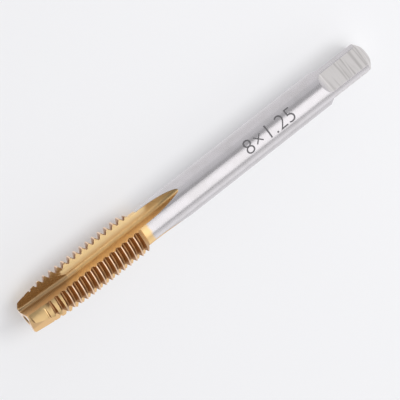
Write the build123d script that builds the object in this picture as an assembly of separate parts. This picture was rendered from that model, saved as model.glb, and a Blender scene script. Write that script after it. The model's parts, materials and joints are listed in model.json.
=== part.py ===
"""A machine tap for a metric thread, with three straight flutes and a spiral point.

The tap is turned, threaded, fluted and milled from one bar of high-speed steel, so it is one solid.
It is worked out standing on its point, with its axis along Z, and then laid down as it comes to rest
on a flat surface: point towards +X, drive square towards -X, one flute straight down. It then stands on
three points, the edges of that flute's two lands at the last crest, and the shank's end.
"""
import os
from math import acos, atan, cos, degrees, radians, sin, sqrt, tan

from build123d import *

# --- The thread -----------------------------------------------------------------------------------
thread_diameter = 8.0        # over the crests
thread_pitch = 1.25
thread_depth = 0.78          # crest to root, measured square to the axis
crest_flat = 0.155           # width of the flat left on each crest
flank_angle = 60.0           # between the two flanks of a groove
thread_end = 21.95           # where the last full crest stops, measured from the point
thread_back_angle = 45.0     # slope from the last crest down to the shank
thread_start = 0.29          # height of a groove's middle above the end face, on the first land
left_hand = True             # a left-hand tap turns and spirals the other way

# --- The cutting lead at the point ----------------------------------------------------------------
point_face_diameter = 4.8    # the flat end face
point_bevel_length = 0.65    # bevel between the end face and the lead
point_diameter = 6.45        # over the lands behind that bevel
lead_length = 4.9            # tapered lead, about four threads
lead_relief = 0.34           # how far a land falls, on the lead, from its cutting edge to its heel

# --- The shank and its drive square ---------------------------------------------------------------
overall_length = 69.5
shank_diameter = 6.2
square_across_flats = 5.0
square_length = 8.0          # straight part of the flats
square_shoulder_radius = 1.9  # left by the milling cutter at the end of each flat
square_turn = 25.5           # from a flute's middle to a flat's middle, towards the flute's heel
end_cone_length = 1.2
end_face_diameter = 2.8
end_round = 0.5              # where the end cone meets the end face

# --- The flutes -----------------------------------------------------------------------------------
flute_count = 3
flute_width_angle = 61.0     # between cutting edge and heel, seen from the axis
flute_core_diameter = 2.6    # between the flute floors, before their corners are rounded
flute_corner_radius = 0.6    # where the cutting face meets the floor
flute_hook = 0.2             # hollow of the cutting face
flute_length = 24.3          # full depth, measured from the point
flute_wheel_diameter = 30.0  # the wheel that ground them, seen in their run-out
flute_exit_turn = 23.0       # the wheel leaves this far from the flute's middle, on the heel's side

# --- The spiral point: a slanted gash along the front of each flute -------------------------------
gash_length = 10.2
gash_slant = 10.0            # between gash and axis, seen from outside
gash_core_diameter = 2.4     # between the gash floors at the very point
gash_floor_turn = 1.5        # the gash's floor leans by this much from the flute's
gash_corner_radius = 0.6

# --- The centre hole in the point -----------------------------------------------------------------
centre_hole_diameter = 1.5
centre_hole_depth = 2.4
centre_hole_mouth = 1.9      # diameter of its bevelled mouth
drill_angle = 118.0          # at the bottom of the hole

# --- Allowances for cutters, which start and end outside the steel --------------------------------
clear = 1.0
touch = 0.06                 # groove flanks run on past the crests by this much

# --- Worked out from the sizes above --------------------------------------------------------------
hand = -1 if left_hand else 1
thread_radius = thread_diameter / 2
root_radius = thread_radius - thread_depth
shank_radius = shank_diameter / 2
flat_distance = square_across_flats / 2
core_radius = flute_core_diameter / 2
half_flute = flute_width_angle / 2
flute_step = 360 / flute_count
floor_turn = degrees(acos(core_radius / thread_radius)) - half_flute  # from its middle to the floor's normal
land_angle = flute_step - flute_width_angle
lead_end = point_bevel_length + lead_length
lead_taper = (thread_diameter - point_diameter) / 2 / lead_length
back_length = (thread_radius - shank_radius) / tan(radians(thread_back_angle))
shoulder_step = square_shoulder_radius - (shank_radius - flat_distance)
shoulder_length = sqrt(square_shoulder_radius**2 - shoulder_step**2)
shank_end = overall_length - square_length - shoulder_length
rest_height = thread_radius * cos(radians(half_flute))  # of the axis, over a flute that faces down


def polar(radius, angle):
    """The point at a radius and at an angle from +X, in degrees."""
    return Vector(radius * cos(radians(angle)), radius * sin(radians(angle)), 0)


def turned_blank():
    """The bar as it leaves the lathe: lead, barrel for the thread, shank and coned drive end."""
    with BuildPart() as blank:
        with BuildSketch(Plane.XZ):
            with BuildLine():
                Polyline(
                    (0, 0),
                    (point_face_diameter / 2, 0),
                    (point_diameter / 2, point_bevel_length),
                    (thread_radius, lead_end),
                    (thread_radius, thread_end),
                    (shank_radius, thread_end + back_length),
                    (shank_radius, overall_length - end_cone_length),
                    (end_face_diameter / 2, overall_length),
                    (0, overall_length),
                    close=True,
                )
            make_face()
        revolve(axis=Axis.Z)
        fillet(blank.edges().filter_by(GeomType.CIRCLE).sort_by(Axis.Z)[-1], end_round)
    return blank.part


def lead_reliefs():
    """What the grinder takes off the lead behind each cutting edge.

    On each land the lead is a cone whose axis is shifted towards the cutting edge, so that the land
    falls away from that edge to its heel, and the teeth there are clear of the work.
    """
    shift = lead_relief / (cos(radians(half_flute)) - cos(radians(half_flute + land_angle)))
    back = shift * cos(radians(half_flute))
    top = lead_end + 2 * (lead_relief + back) / lead_taper
    cone_foot = point_diameter / 2 - back - lead_taper * (point_bevel_length + clear)
    cone_top = cone_foot + lead_taper * (top + clear)
    cone = Cone(cone_foot, cone_top, top + clear, align=(Align.CENTER, Align.CENTER, Align.MIN))
    reach = 2 * thread_diameter
    sector = make_face(
        Polyline((0, 0), polar(reach, 0), polar(reach, flute_step / 2), polar(reach, flute_step), close=True)
    )
    wedge = Pos(0, 0, -clear) * extrude(sector, top + clear)
    if left_hand:
        wedge = Rot(0, 0, -flute_step) * wedge
    relief = wedge - Pos(shift, 0, -clear) * cone
    return [Rot(0, 0, land * flute_step) * relief for land in range(flute_count)]


def groove_piece():
    """One land's share of one turn of the groove: it starts and ends in the open flutes beside it."""
    half_crest_gap = (thread_pitch - crest_flat) / 2
    flank_slope = tan(radians(flank_angle / 2))
    half_root = half_crest_gap - thread_depth * flank_slope
    half_mouth = half_crest_gap + touch * flank_slope
    outer = thread_radius + clear
    sweep_angle = land_angle + half_flute
    rise = thread_pitch * sweep_angle / 360
    low = -rise / 2
    path = Helix(
        pitch=thread_pitch,
        height=rise,
        radius=thread_radius,
        center=(0, 0, low),
        lefthand=left_hand,
    )
    profile = Plane.XZ * make_face(
        Polyline(
            (root_radius, low - half_root),
            (thread_radius + touch, low - half_mouth),
            (outer, low - half_mouth),
            (outer, low + half_mouth),
            (thread_radius + touch, low + half_mouth),
            (root_radius, low + half_root),
            close=True,
        )
    )
    return Rot(0, 0, -hand * sweep_angle / 2) * sweep(profile, path=path, is_frenet=True)


def thread_grooves():
    """The whole helical groove, land by land and turn by turn."""
    piece = groove_piece()
    turns = int((thread_end + back_length) / thread_pitch) + 3
    pieces = []
    for land in range(flute_count):
        angle = land * flute_step
        first = thread_start - thread_pitch + hand * thread_pitch * angle / 360
        for turn in range(turns):
            place = Pos(0, 0, first + turn * thread_pitch) * Rot(0, 0, flute_step / 2 + angle)
            pieces.append(place * piece)
    return pieces


def flute_corners():
    """The cutting edge, the heel and the inner corner of a flute in the +X direction."""
    edge = polar(thread_radius, hand * half_flute)
    heel = polar(thread_radius, -hand * half_flute)
    corner = polar(core_radius / cos(radians(floor_turn - half_flute)), hand * half_flute)
    return edge, heel, corner


def flute_tool():
    """A flute in the +X direction: hollow cutting face, flat floor, and the wheel's run-out."""
    edge, heel, corner = flute_corners()
    face_middle = (edge + corner) / 2 + polar(flute_hook, hand * (half_flute + 90))
    edge_outside = edge + polar(clear, hand * half_flute)
    heel_outside = heel + (heel - corner).normalized() * clear
    with BuildSketch() as section:
        with BuildLine():
            ThreePointArc(edge, face_middle, corner)
            Polyline(corner, heel_outside, (thread_diameter, 0), edge_outside, edge)
        make_face()
        fillet(section.vertices().sort_by_distance(corner)[0], flute_corner_radius)
    straight = Pos(0, 0, -clear) * extrude(section.sketch, flute_length + clear)
    exit_angle = -hand * flute_exit_turn
    wheel_centre = polar(core_radius + flute_wheel_diameter / 2, exit_angle) + Vector(0, 0, flute_length)
    wheel_axis = Axis(wheel_centre, polar(1, exit_angle + 90))
    end_section = Pos(0, 0, flute_length) * section.sketch
    return straight + revolve(end_section, axis=wheel_axis, revolution_arc=45)


def gash_tool():
    """The slanted gash of the spiral point, in the flute of the +X direction.

    Its section is the same at every height. It slides towards the land ahead of the cutting edge,
    and deeper, as it nears the point.
    """
    outward = polar(1, hand * half_flute)
    aside = polar(1, hand * (half_flute + 90))
    floor_normal = polar(1, hand * (floor_turn + gash_floor_turn))
    floor_way = polar(1, hand * (floor_turn + gash_floor_turn - 90))
    slide = tan(radians(gash_slant))
    sink = (flute_core_diameter - gash_core_diameter) / 2 / gash_length
    side_at_point = slide * gash_length
    depth_at_point = gash_core_diameter / 2

    def corner_at(height):
        side = side_at_point - slide * height
        depth = depth_at_point + sink * height
        along = (depth - side * aside.dot(floor_normal)) / outward.dot(floor_normal)
        return aside * side + outward * along

    low = -clear
    high = gash_length + 2 * clear
    corner = corner_at(low)
    travel = corner_at(high) - corner + Vector(0, 0, high - low)
    reach = thread_diameter
    with BuildSketch() as section:
        with BuildLine():
            Polyline(
                corner,
                corner + outward * reach,
                corner + outward * reach + floor_way * reach,
                corner + floor_way * reach,
                close=True,
            )
        make_face()
        deepest = section.vertices().sort_by_distance(corner)[0]
        fillet(deepest, gash_corner_radius)
    return extrude(Pos(0, 0, low) * section.sketch, travel.length, dir=travel)


def centre_hole():
    """The drilled centre in the end face, with its coned bottom and bevelled mouth."""
    radius = centre_hole_diameter / 2
    mouth = centre_hole_mouth / 2
    bottom = radius / tan(radians(drill_angle / 2))
    outline = Polyline(
        (0, -clear),
        (mouth, -clear),
        (mouth, 0),
        (radius, mouth - radius),
        (radius, centre_hole_depth),
        (0, centre_hole_depth + bottom),
        close=True,
    )
    return revolve(Plane.XZ * make_face(outline), axis=Axis.Z)


def square_cuts():
    """The four milled flats of the drive square, each with the cutter's round shoulder."""
    flat_start = overall_length - square_length
    outer = flat_distance + square_shoulder_radius
    top = overall_length + clear
    middle = 45
    round_point = (
        outer - square_shoulder_radius * cos(radians(middle)),
        flat_start - square_shoulder_radius * sin(radians(middle)),
    )
    with BuildSketch(Plane.XZ) as profile:
        with BuildLine():
            ThreePointArc((flat_distance, flat_start), round_point, (outer, flat_start - square_shoulder_radius))
            Polyline(
                (outer, flat_start - square_shoulder_radius),
                (outer, top),
                (flat_distance, top),
                (flat_distance, flat_start),
            )
        make_face()
    cut = extrude(profile.sketch, shank_diameter, both=True)
    first = -hand * square_turn
    return [Rot(0, 0, first + side * 90) * cut for side in range(4)]


def standing_tap():
    """The finished tap on its point, with its first flute in the +X direction."""
    flute = flute_tool()
    gash = gash_tool()
    turns = [Rot(0, 0, number * flute_step) for number in range(flute_count)]
    tap = turned_blank()
    tap = tap - lead_reliefs()
    tap = tap - thread_grooves()
    tap = tap - [turn * flute for turn in turns]
    tap = tap - [turn * gash for turn in turns]
    tap = tap - centre_hole()
    tap = tap - square_cuts()
    return tap


def laid_down(tap):
    """The tap at rest on the lands beside its second flute and on its shank's end, over the origin."""
    rest_tilt = degrees(atan((rest_height - shank_radius) / (shank_end - thread_end)))
    tap = Rot(0, 0, hand * (180 - flute_step)) * tap
    tap = Rot(0, -90 - rest_tilt, 0) * tap
    box = tap.bounding_box()
    return Pos(-box.center().X, -box.center().Y, -box.min.Z) * tap


tap = laid_down(standing_tap())
tap.label = "tap"
os.makedirs("parts", exist_ok=True)
export_step(tap, "parts/tap.step")
print("volume in cubic millimetres:", round(tap.volume, 1))
print("box:", tap.bounding_box())
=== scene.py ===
# %% [markdown]
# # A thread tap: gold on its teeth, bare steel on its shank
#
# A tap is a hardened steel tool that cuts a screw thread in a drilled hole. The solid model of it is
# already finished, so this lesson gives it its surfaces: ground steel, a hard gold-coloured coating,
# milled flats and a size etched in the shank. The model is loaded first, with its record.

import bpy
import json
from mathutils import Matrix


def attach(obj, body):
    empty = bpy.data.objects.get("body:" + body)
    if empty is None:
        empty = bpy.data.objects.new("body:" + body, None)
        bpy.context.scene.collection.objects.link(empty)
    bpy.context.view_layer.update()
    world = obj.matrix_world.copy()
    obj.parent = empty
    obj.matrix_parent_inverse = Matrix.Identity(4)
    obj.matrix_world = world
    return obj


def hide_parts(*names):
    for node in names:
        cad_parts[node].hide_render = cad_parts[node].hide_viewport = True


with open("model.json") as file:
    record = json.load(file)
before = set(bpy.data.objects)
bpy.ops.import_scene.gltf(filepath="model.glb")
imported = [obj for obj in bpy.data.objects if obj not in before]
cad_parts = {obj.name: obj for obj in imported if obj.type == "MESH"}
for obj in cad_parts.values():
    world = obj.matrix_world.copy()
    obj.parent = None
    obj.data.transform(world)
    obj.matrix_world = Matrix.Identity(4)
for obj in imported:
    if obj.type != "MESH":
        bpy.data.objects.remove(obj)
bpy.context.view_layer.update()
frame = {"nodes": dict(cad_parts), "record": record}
print("solid pieces:", sorted(frame["nodes"]))

# %% [markdown]
# ## The tap's own axis
#
# The tap lies on a table, so its axis is not quite level. Grinding lines, the coating's edge and the
# etched size all follow that axis, and are easiest to place in millimetres along it. The record of
# the model names the shank as the place where the tap is held, and that gives the axis. The point
# is the foremost spot of the steel along it.

# %% Find the axis and the point
import json
from math import cos, degrees, pi, radians, sin

import bpy
from mathutils import Matrix, Vector

mm = 0.001
tap_node = frame["nodes"]["tap"]
shank_mount = {mount["name"]: mount for mount in frame["record"]["mounts"]}["shank"]
axis = Vector(shank_mount["axis"]).normalized()
on_axis = Vector(shank_mount["pos_m"])
shank_radius = shank_mount["dims"]["r_mm"] * mm
distances = [(vertex.co - on_axis).dot(axis) for vertex in tap_node.data.vertices]
point = on_axis + min(distances) * axis
tap_length = max(distances) - min(distances)
print("the point is at", point, "and the tap is", round(tap_length / mm, 2), "mm long")

# %% [markdown]
# Directions around the axis are angles too: 0 faces the viewer's side of the table, 90 faces up.
# One function turns such an angle into a direction, and the camera, the lamps and the etched size
# all use it.

# %% A direction around the axis
level = Vector((0, -1, 0))
upward = axis.cross(level)


def around(angle):
    """The direction square to the tap's axis, at an angle from the viewer's side towards the top."""
    return level * cos(radians(angle)) + upward * sin(radians(angle))


print("straight up from the tap is", around(90))

# %% [markdown]
# ## The camera
#
# The tap is seen from above and in front, from far away with a long lens, so its sides stay
# parallel. It leans ten degrees with its point towards the viewer, and the camera is rolled until
# the point is at the lower left. The frame's width on the tap gives the lens: the distance divided
# by that width, times the width of the sensor.

# %% Aim the camera
view_angle = 58          # around the axis, above the table
lean = 10                # the point comes this far towards the viewer
roll = 38.21             # between the tap's axis and the frame's lower edge
frame_width = 63.30 * mm  # what the frame shows, at the tap
to_centre = (27.46 * mm, 18.97 * mm)  # from the point to the frame's centre, right and up
camera_distance = 1.3
sees_to = 10             # metres from the camera, which is past the table's far edge

towards = cos(radians(lean)) * around(view_angle) - sin(radians(lean)) * axis
along = cos(radians(lean)) * axis + sin(radians(lean)) * around(view_angle)
over = towards.cross(along)
right = cos(radians(roll)) * along - sin(radians(roll)) * over
up = sin(radians(roll)) * along + cos(radians(roll)) * over

bpy.ops.object.camera_add()
camera = bpy.context.object
camera.name = "camera"
camera.data.lens = camera.data.sensor_width * camera_distance / frame_width
camera.data.clip_end = sees_to
centre = point + to_centre[0] * right + to_centre[1] * up
camera.matrix_world = Matrix.Translation(centre + towards * camera_distance) @ Matrix(
    (right, up, towards)).transposed().to_4x4()
bpy.context.scene.camera = camera
print("lens:", round(camera.data.lens), "mm")

# %% [markdown]
# ## The steel body
#
# The solid model arrives as loose triangles, each with its own corners, which would show as facets.
# A copy of it has its corners merged, and is then shaded smooth wherever two faces meet at a small
# angle, so round surfaces look round and ground edges stay crisp. Weighted normals let the large
# faces decide how a shared corner is lit, so no streak runs down the shank from the tip of a flute.
# The labels that came with the solid are taken off the copy, which then stands for the solid.

# %% Copy the solid and merge its corners
smooth_below = 24            # degrees: edges sharper than this stay crisp
same_corner = 0.001 * mm     # corners nearer than this are one

bpy.ops.object.select_all(action="DESELECT")
tap_node.select_set(True)
bpy.context.view_layer.objects.active = tap_node
bpy.ops.object.duplicate()
body = bpy.context.object
body.name = "tap_body"
for key in list(body.keys()):
    del body[key]
bpy.ops.mesh.customdata_custom_splitnormals_clear()
bpy.ops.object.mode_set(mode="EDIT")
bpy.ops.mesh.select_all(action="SELECT")
bpy.ops.mesh.remove_doubles(threshold=same_corner)
bpy.ops.object.mode_set(mode="OBJECT")
bpy.ops.object.shade_smooth_by_angle(angle=radians(smooth_below))
bpy.ops.object.modifier_add(type="WEIGHTED_NORMAL")
body.modifiers[-1].keep_sharp = True
bpy.ops.object.modifier_apply(modifier=body.modifiers[-1].name)
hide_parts("tap")
print("the body has", len(body.data.vertices), "vertices and", len(body.data.polygons), "faces")

# %% [markdown]
# ## Shader maths as plain Python
#
# The finishes below are worked out from numbers such as the distance from the axis. In Blender each
# sum is a Math node, and wiring dozens of them by hand is slow to read. A small class wraps a
# node's socket, so that `1 - mask * 0.5` adds those nodes by itself. Where a node has several
# outputs, `output` gives another one of them.

# %% Wrap a socket
class Value:
    """Something that varies over a surface: the output socket of a shader node."""

    def __init__(self, paint, socket):
        self.paint = paint
        self.socket = socket

    def maths(self, operation, *others):
        return self.paint.add("ShaderNodeMath", {"operation": operation}, self, *others)

    def output(self, number):
        return Value(self.paint, self.socket.node.outputs[number])

    def __add__(self, other):
        return self.maths("ADD", other)

    __radd__ = __add__

    def __mul__(self, other):
        return self.maths("MULTIPLY", other)

    __rmul__ = __mul__

    def __sub__(self, other):
        return self.maths("SUBTRACT", other)

    def __rsub__(self, other):
        return (self * -1) + other

    def __truediv__(self, other):
        return self.maths("DIVIDE", other)


print("a wrapped socket adds nodes for + - * and /")

# %% [markdown]
# The node tree of a material, or of the room around the scene, is wrapped as well. Its `add` method
# takes a node's type, its settings and what goes into its sockets: a list fills them in order, and
# names fill them by name.

# %% Wrap a node tree
class Paint:
    """The node tree of a material or of the room, with short ways to add nodes."""

    def __init__(self, owner, shader):
        owner.use_nodes = True
        self.tree = owner.node_tree
        self.shader = self.tree.nodes[shader]

    def plug(self, socket, value):
        if isinstance(value, Value):
            self.tree.links.new(value.socket, socket)
        else:
            socket.default_value = value

    def add(self, kind, settings, *values, output=0, **named):
        node = self.tree.nodes.new(kind)
        for name, setting in settings.items():
            setattr(node, name, setting)
        for socket, value in zip(node.inputs, values):
            self.plug(socket, value)
        for name, value in named.items():
            self.plug(node.inputs[name], value)
        return Value(self, node.outputs[output])

    def shade(self, values):
        """Set or link the shader's own sockets by name."""
        for name, value in values.items():
            self.plug(self.shader.inputs[name], value)

    def step(self, value, low, high):
        """0 below low, 1 above high, and a soft rise between them."""
        settings = {"interpolation_type": "SMOOTHSTEP"}
        return self.add("ShaderNodeMapRange", settings, value, low, high)

    def mix(self, mask, below, above):
        """One colour over another, where the mask is 1; sockets 6 and 7 are the node's colours."""
        mixed = self.add("ShaderNodeMix", {"data_type": "RGBA"}, mask, output=2)
        self.plug(mixed.socket.node.inputs[6], below)
        self.plug(mixed.socket.node.inputs[7], above)
        return mixed

    def wear(self, where, scale, detail=3.0):
        """Soft random variation between 0 and 1."""
        return self.add("ShaderNodeTexNoise", {}, Vector=where, Scale=scale, Detail=detail)


def new_finish(name, piece):
    """A new material on a piece, in place of what it had."""
    material = bpy.data.materials.new(name)
    piece.data.materials.clear()
    piece.data.materials.append(material)
    return Paint(material, "Principled BSDF")


print("materials can now be written as sums")

# %% [markdown]
# ## One metal, two finishes
#
# The real tap is one bar of steel. It is ground all over but for the milled square, and its teeth
# and flutes have a hard coating only thousandths of a millimetre thick. So it is one metal
# material, and a mask says where the coating lies. All places are measured in the tap's own frame,
# in millimetres: along the axis from the point, and outwards from the axis. A Mapping node turns
# and centres that frame.

# %% Measure along and out from the axis
finish = new_finish("coated and ground steel", body)
tap_frame = Matrix((axis, upward.cross(axis), upward)).transposed()
object_place = finish.add("ShaderNodeTexCoord", {}, output=3)
place = finish.add(
    "ShaderNodeMapping",
    {"vector_type": "TEXTURE"},
    Vector=object_place,
    Location=point,
    Rotation=tap_frame.to_euler(),
    Scale=(mm, mm, mm),
)
from_point = finish.add("ShaderNodeSeparateXYZ", {}, place)
sideways = from_point.output(1)
upwards = from_point.output(2)
from_axis = (sideways * sideways + upwards * upwards).maths("SQRT")
print("tap frame turned by", [round(turn, 4) for turn in tap_frame.to_euler()])

# %% [markdown]
# The coating covers the teeth, their flutes and a narrow collar of the shank, where it thins out
# along a slightly wavy line. In the flutes it goes on until each flute runs out of the shank, and
# there the ground hollow lies deeper than the shank's surface, which gives its mask.

# %% Say where the coating lies
collar_end = 24.0      # millimetres from the point
collar_fade = 0.6      # how long the coating takes to thin out
collar_waves = 0.9     # in a millimetre
wave_height = 0.5      # how far they move the line
flutes_end = 40.0      # past this, what lies deep is the drive square
shank = shank_radius / mm
ground_away = (shank - 0.06, shank - 0.01)  # surely below the shank's surface, and just below it

waviness = finish.wear(place, collar_waves) * wave_height
on_collar = 1 - finish.step(from_point + waviness, collar_end, collar_end + collar_fade)
before_square = 1 - finish.step(from_point, flutes_end, flutes_end + 1)
in_flute = (1 - finish.step(from_axis, *ground_away)) * before_square
coated = on_collar.maths("MAXIMUM", in_flute)
print("the coating ends", collar_end, "mm from the point")

# %% [markdown]
# The grooves of the thread are stained, and so little light gets down there that they look maroon.
# Their flanks lean steeply towards one end of the tap, and their roots lie at one distance from the
# axis. A face's normal, turned into the tap's frame, tells how far it leans: `lean_along` towards
# the ends, and `lean_across` round the axis, which is near 1 or -1 on a flute's walls. Each mask
# below is a soft step between two numbers: where it starts, and where it is full.

# %% Find the grooves between the threads
normal = finish.add("ShaderNodeTexCoord", {}, output=1)
facing = finish.add(
    "ShaderNodeMapping", {"vector_type": "TEXTURE"}, Vector=normal, Rotation=tap_frame.to_euler())
facing_square = finish.add("ShaderNodeSeparateXYZ", {}, facing)
lean_along = facing_square.maths("ABSOLUTE")
turning = facing_square.output(2) * sideways - facing_square.output(1) * upwards
lean_across = turning / from_axis

root_radius = 3.23
root_floor = (root_radius - 0.15, root_radius - 0.05)
root_top = (root_radius + 0.1, root_radius + 0.25)
root_wall = (0.3, 0.5)         # a surface that leans across like this is a flute's wall, not a root
flank_lean = (0.4, 0.65)
lead_end = 3.2                 # nearer the point, the lands themselves lie as deep as the roots
lead_fade = 0.6
thread_end = 22.5
thread_fade = 0.5
flute_floor = (2.6, 2.8)       # deeper than this is no groove but a flute
# Groove walls that look towards the square face the brighter side of the room, so their painted
# shade is lighter.
square_lean = (0.2, 0.5)       # groove walls that look towards the square
less_shade_facing_square = 0.3             # how much paler those walls are

on_flank = finish.step(lean_along, *flank_lean)
at_root_depth = finish.step(from_axis, *root_floor) * (1 - finish.step(from_axis, *root_top))
off_wall = 1 - finish.step(lean_across.maths("ABSOLUTE"), *root_wall)
past_lead = finish.step(from_point, lead_end, lead_end + lead_fade)
on_root = at_root_depth * off_wall * past_lead
# less painted shade on the walls facing the square
shade_by_facing = 1 - finish.step(facing_square, *square_lean) * less_shade_facing_square
above_floor = finish.step(from_axis, *flute_floor)
on_thread = 1 - finish.step(from_point, thread_end, thread_end + thread_fade)
# where the grooves get their painted shade
groove_shade_mask = on_flank.maths("MAXIMUM", on_root) * shade_by_facing * above_floor * on_thread
print("the grooves end", thread_end, "mm from the point")

# %% [markdown]
# The flutes' cutting faces are ground to a satin finish, and near their rims they carry a pale
# painted highlight.
# They look one way round the axis, and the flutes' backs look the other way and get a painted shade
# of deeper gold.
# The slanted faces of the gashes at the point lean a little along the axis as well; they are
# smoother, and a painted shade darkens them. The crease along the bottom of each flute is duller
# than the flute's back, and within a gash the painted shade darkens it nearly as much as the gash's
# face.

# %% Find the cutting faces, the backs and the gashes
gash_end = 11.5
gash_fade = 1
gash_lean = (0.05, 0.11)       # along the axis
wall_lean = (0.45, 0.75)       # round the axis
back_lean = (0.1, 0.6)         # round the axis, the other way
rim_reach = (1.7, 3.0)         # from the axis
crease_reach = (1.7, 2.1)      # from the axis
crease_shade_share = 0.8             # of a gash face's colour

leans_a_little = finish.step(lean_along, *gash_lean)
on_wall = finish.step(lean_across, *wall_lean)
# near the rims of the cutting faces: the satin roughness and the pale painted highlight
on_cutting_face = on_wall * finish.step(from_axis, *rim_reach) * (1 - leans_a_little)
in_crease = 1 - finish.step(from_axis, *crease_reach)
# the gash faces, and more faintly the creases near the point, get a painted shade
gash_or_crease = (on_wall * leans_a_little).maths("MAXIMUM", in_crease * crease_shade_share)
shaded_gash_and_crease = gash_or_crease * (1 - finish.step(from_point, gash_end - gash_fade, gash_end))
# the flutes' backs get a painted shade of deeper gold
on_shaded_back = finish.step(lean_across * -1, *back_lean)
print("the gashes end before", gash_end, "mm from the point")

# %% [markdown]
# ## Grinding and milling marks
#
# A wheel leaves fine lines in the direction of its cut. On the shank they run round the tap, so the
# random pattern is squeezed along the axis. In the flutes they run along it. On the square's flats
# the milling cutter leaves coarser bands straight across. The pattern is the same kind of noise
# each time, only stretched another way.

# %% Stretch noise into cutter marks
def marks(stretch, detail=2.0):
    """Random lines: stretch is how many cycles a millimetre holds, along, sideways and up."""
    stretched = finish.add("ShaderNodeMapping", {}, Vector=place, Scale=stretch)
    return finish.wear(stretched, 1.0, detail)


square_start = (60.2, 61.2)    # millimetres from the point
milled_away = (shank - 0.05, shank - 0.01)

ring_marks = marks((9.0, 0.35, 0.35))
flute_marks = marks((0.25, 7.0, 7.0))
band_marks = marks((2.6, 0.12, 0.12), detail=4.0)
below_shank = 1 - finish.step(from_axis, *milled_away)
on_square = finish.step(from_point, *square_start) * below_shank
print("marks on the square are full", square_start[1], "mm from the point")

# %% [markdown]
# ## The colours
#
# Bare high-speed steel is a light grey with faint stains. Where it was milled it is paler, with
# darker streaks. The coating is a gold that varies in soft patches. Painted shade makes it deeper on
# the flutes' backs, darker in the gashes and a maroon brown in the grooves; a painted highlight
# makes it palest on the cutting faces and pale and pinkish on the crests of the teeth, which stand
# out furthest. The end face is ground pale too, and a painted shade darkens the centre hole drilled
# in it.
# A metal's colour is what it reflects, so all of this is mixed, one colour over the next, into Base
# Color.

# %% Mix steel and gold
steel_colour = (0.59, 0.567, 0.58, 1)
steel_stain = (0.51, 0.49, 0.488, 1)
milled_pale = (0.67, 0.645, 0.635, 1)
milled_dark = (0.42, 0.40, 0.39, 1)
gold_pale = (0.81, 0.565, 0.275, 1)
gold_deep = (0.74, 0.49, 0.23, 1)
# painted shade on the flutes' backs
back_painted_shade = (0.72, 0.47, 0.24, 1)
# painted highlight on the cutting faces
painted_face_highlight = (1.0, 0.86, 0.57, 1)
# painted shade in the gashes and creases
gash_painted_shade = (0.60, 0.40, 0.21, 1)
# painted shade in the thread's grooves
groove_painted_shade = (0.36, 0.19, 0.085, 1)
# painted highlight on the crests of the teeth
crest_painted_highlight = (0.82, 0.60, 0.45, 1)
end_ground = (0.95, 0.82, 0.74, 1)
# painted shade in the centre hole
hole_painted_shade = (0.12, 0.05, 0.03, 1)
patches = 0.55                 # in a millimetre
patch_edges = (0.35, 0.75)     # how strong the noise is where a patch starts, and where it is full
streak_edges = (0.42, 0.66)    # the same for the milling streaks
crest_reach = (3.86, 3.98)     # from the axis
end_lean = (0.85, 0.95)        # along the axis
end_reach = (0.4, 0.7)         # from the point
centre_hole = 0.75             # the drilled hole's radius
hole_edge = (centre_hole + 0.04, centre_hole + 0.08)

blotches = finish.step(finish.wear(place, patches, detail=4.0), *patch_edges)
streaks = finish.step(band_marks, *streak_edges)
# the crests, where the painted highlight lies
on_crest_highlight = finish.step(from_axis, *crest_reach)
on_end = finish.step(lean_along, *end_lean) * (1 - finish.step(from_point, *end_reach))
# the centre hole, where the painted shade goes
in_hole_shade = 1 - finish.step(from_axis, *hole_edge)
steel = finish.mix(blotches * 0.5, steel_colour, steel_stain)
steel = finish.mix(on_square, steel, milled_pale)
steel = finish.mix(streaks * on_square * 0.7, steel, milled_dark)
gold = finish.mix(blotches * 0.45, gold_pale, gold_deep)
# painted shade on the backs, painted highlight on the cutting faces, painted shade in the gashes and
# creases
gold = finish.mix(on_shaded_back * 0.8, gold, back_painted_shade)
gold = finish.mix(on_cutting_face, gold, painted_face_highlight)
gold = finish.mix(shaded_gash_and_crease, gold, gash_painted_shade)
# painted shade in the grooves
gold = finish.mix(groove_shade_mask, gold, groove_painted_shade)
# painted highlight on the crests
gold = finish.mix(on_crest_highlight * 0.8, gold, crest_painted_highlight)
gold = finish.mix(on_end * 0.8, gold, end_ground)
# painted shade in the centre hole
gold = finish.mix(in_hole_shade, gold, hole_painted_shade)
colour = finish.mix(coated, steel, gold)
finish.shade({"Base Color": colour, "Metallic": 1.0})
print("plain steel is", steel_colour[:3], "and plain gold", gold_pale[:3])

# %% [markdown]
# Roughness says how sharply the metal mirrors the room, and the marks change it from line to line.
# A Bump node tips the surface by the same marks. The grinding lines are at most a thousandth of a
# millimetre deep, and the milled bands about a hundredth.

# %% Set the polish and the depth of the marks
ring_depth = 0.0004            # millimetres
flute_depth = 0.001
band_depth = 0.012

steel_rough = 0.24 + ring_marks * 0.06
gold_rough = 0.32 + flute_marks * 0.12
gold_rough = gold_rough - shaded_gash_and_crease * 0.12 + on_cutting_face * 0.4 + in_crease * 0.2
square_rough = 0.42 + band_marks * 0.15
rough = steel_rough + (gold_rough - steel_rough) * coated
rough = rough + (square_rough - rough) * on_square
relief = ring_marks * ring_depth * (1 - coated) + flute_marks * flute_depth * coated
relief = relief + band_marks * band_depth * on_square
bump = finish.add("ShaderNodeBump", {}, Height=relief, Distance=mm, Strength=1.0)
finish.shade({"Roughness": rough, "Normal": bump})
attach(body, "root")
print("the finish has", len(finish.tree.nodes), "nodes")

# %% [markdown]
# ## The etched size
#
# The thread's size is etched in the shank in thin dark figures: 8 mm across, 1.25 mm from thread
# to thread. Letters are drawn flat, and the shank is round, so the text is made a mesh, cut into
# narrow strips across its height, and wrapped: a vertex's height above the middle line becomes an
# angle round the shank.

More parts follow.
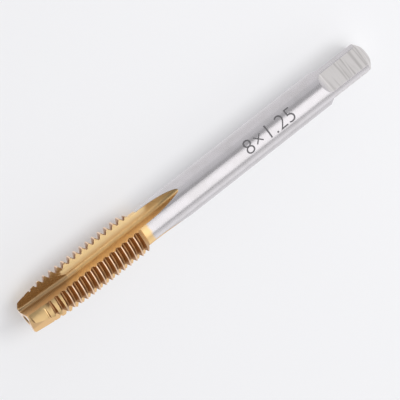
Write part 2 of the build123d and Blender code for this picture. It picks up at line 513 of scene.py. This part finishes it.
# %% Draw the figures flat
mark_text = "8×1.25"
mark_height = 2.55 * mm
mark_middle = 49.0 * mm    # from the point
mark_angle = 62.4          # its middle line, around the axis
mark_depth = 0.006 * mm    # how far the dark film stands above the steel, and reaches into it
mark_thinner = 0.045 * mm  # how far each stroke's edges draw in
figure_share = 0.7         # a figure's height, of its font's size
curve_steps = 6            # in each curve of a figure

bpy.ops.object.select_all(action="DESELECT")
bpy.ops.object.text_add()
mark = bpy.context.object
mark.name = "size_mark"
mark.data.body = mark_text
mark.data.align_x = "CENTER"
mark.data.size = mark_height / figure_share
mark.data.resolution_u = curve_steps
mark.data.extrude = mark_depth
mark.data.offset = -mark_thinner
bpy.ops.object.convert(target="MESH")
print("the figures are", round(mark.dimensions.x / mm, 2), "mm long")

# %% [markdown]
# Bisect cuts a mesh along a plane and keeps both halves. A row of such cuts makes the strips.

# %% Cut them in strips and wrap them round the shank
strips = 14
bottom = min(vertex.co.y for vertex in mark.data.vertices)
top = max(vertex.co.y for vertex in mark.data.vertices)
middle_line = (top + bottom) / 2
bpy.ops.object.mode_set(mode="EDIT")
for strip in range(1, strips):
    bpy.ops.mesh.select_all(action="SELECT")
    cut = bottom + (top - bottom) * strip / strips
    bpy.ops.mesh.bisect(plane_co=(0, cut, 0), plane_no=(0, 1, 0))
bpy.ops.object.mode_set(mode="OBJECT")
for vertex in mark.data.vertices:
    outward = around(mark_angle - degrees((vertex.co.y - middle_line) / shank_radius))
    on_shank = point + axis * (mark_middle + vertex.co.x)
    vertex.co = on_shank + outward * (shank_radius + vertex.co.z)
print("the mark has", len(mark.data.polygons), "faces")

# %% [markdown]
# The figures are dull and dark, and a little uneven, as an etch is.

# %% Darken the figures
etch_dark = (0.10, 0.095, 0.10, 1)
etch_pale = (0.22, 0.21, 0.22, 1)
etch_patches = 2200.0      # in a metre

etch = new_finish("etched dark", mark)
etch_place = etch.add("ShaderNodeTexCoord", {}, output=3)
etch_cloud = etch.wear(etch_place, etch_patches)
etch_colour = etch.mix(etch_cloud, etch_dark, etch_pale)
etch.shade({"Base Color": etch_colour, "Roughness": 0.6 + etch_cloud * 0.2, "Metallic": 0.3})
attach(mark, "root")
print("the mark's finish has", len(etch.tree.nodes), "nodes")

# %% [markdown]
# ## The table
#
# The tap lies on a plain pale table, a plane much wider than the frame. A third of what the camera
# sees of it is a glow of its own, so it looks nearly white without any more light on the tap, and
# its other two thirds still hold the tap's soft shadow. What the metal mirrors of it is that glow
# alone, so the lower side of the tap stays bright.

# %% Lay the table
table_colour = (0.84, 0.84, 0.85, 1)
glow_colour = (0.98, 0.98, 1, 1)
glow_strength = 1.03
glow_share = 0.35          # of what the camera sees
table_width = 4.0

bpy.ops.object.select_all(action="DESELECT")
bpy.ops.mesh.primitive_plane_add(size=table_width)
table = bpy.context.object
table.name = "table"
top_coat = new_finish("pale table", table)
top_coat.shade({"Base Color": table_colour, "Roughness": 0.9, "Specular IOR Level": 0.1})
seen_by_camera = top_coat.add("ShaderNodeLightPath", {})
seen_in_metal = seen_by_camera.output(3)
plain_glow = top_coat.add("ShaderNodeEmission", {}, glow_colour, glow_strength)
own_surface = Value(top_coat, top_coat.shader.outputs[0])
glowing = seen_in_metal + seen_by_camera * glow_share
surface = top_coat.add("ShaderNodeMixShader", {}, glowing, own_surface, plain_glow)
top_coat.plug(top_coat.tree.nodes["Material Output"].inputs["Surface"], surface)
print("the table is", table_width, "m wide")

# %% [markdown]
# ## The light
#
# Polished metal shows the room it lies in. A studio lays one wide soft lamp straight above it, for
# the broad bright band along the shank, and a weaker one behind, with a narrow gap between them
# that draws a thin dark line. Both reach further past the square than past the point, because the
# tap leans its point towards the viewer and its sides mirror the far end of the room. A third,
# shorter and much stronger, hangs past the square. The shank doesn't mirror it to the viewer, but
# it reaches down into the flutes and brings out their satin cutting faces.

# %% Hang the soft lamps
lamp_distance = 0.5            # from the tap's axis
whole_reach = (0.16, 0.65)     # past the tap's middle, towards its point and its square
far_reach = (-0.35, 0.65)      # only past the square


def soft_lamp(name, angle, width, reach, brightness):
    """A flat lamp facing the tap; reach is how far it goes past the tap's middle, each way."""
    to_point, to_square = reach
    length = to_point + to_square
    middle = point + axis * (tap_length / 2 + (to_square - to_point) / 2)
    bpy.ops.object.light_add(type="AREA")
    lamp = bpy.context.object
    lamp.name = name
    lamp.data.shape = "RECTANGLE"
    lamp.data.size = length
    lamp.data.size_y = width
    lamp.data.energy = brightness * pi * length * width
    turned = Matrix((axis, around(angle).cross(axis), around(angle))).transposed().to_4x4()
    lamp.matrix_world = Matrix.Translation(middle + around(angle) * lamp_distance) @ turned


soft_lamp("lamp_above", angle=89, width=0.57, reach=whole_reach, brightness=1.05)
soft_lamp("lamp_behind", angle=149, width=0.32, reach=whole_reach, brightness=0.48)
soft_lamp("lamp_past_square", angle=89, width=0.57, reach=far_reach, brightness=4.0)

# %% [markdown]
# The rest of the room is a pale grey, brightest near the horizon. It darkens overhead, where the
# lamps add their own light to it, and towards the tap's point, as a room does away from its window.
# Faces that look that way show the darker part and stand out from their neighbours.

# %% Shade the room
bright_wall = 0.92
ceiling_share = 0.6    # of the wall's brightness
far_share = 0.33       # of the window side's brightness
window_edge = (-0.1, 0.14)     # share of a direction that points past the square: dark, then bright
ceiling_edge = (0.42, 0.6)     # share of it that points up: wall, then ceiling

world = bpy.data.worlds.new("room")
bpy.context.scene.world = world
room = Paint(world, "Background")
direction = room.add("ShaderNodeTexCoord", {}, output=0)
dot_product = {"operation": "DOT_PRODUCT"}
square_share = room.add("ShaderNodeVectorMath", dot_product, direction, axis, output=1)
upward_share = room.add("ShaderNodeVectorMath", dot_product, direction, upward, output=1)
window_side = far_share + room.step(square_share, *window_edge) * (1 - far_share)
wall_height = 1 - room.step(upward_share, *ceiling_edge) * (1 - ceiling_share)
room.shade({"Color": (0.97, 0.975, 1, 1), "Strength": window_side * wall_height * bright_wall})
bpy.context.scene.view_settings.view_transform = "Standard"
print("the room's brightness runs from", bright_wall * far_share * ceiling_share, "to", bright_wall)
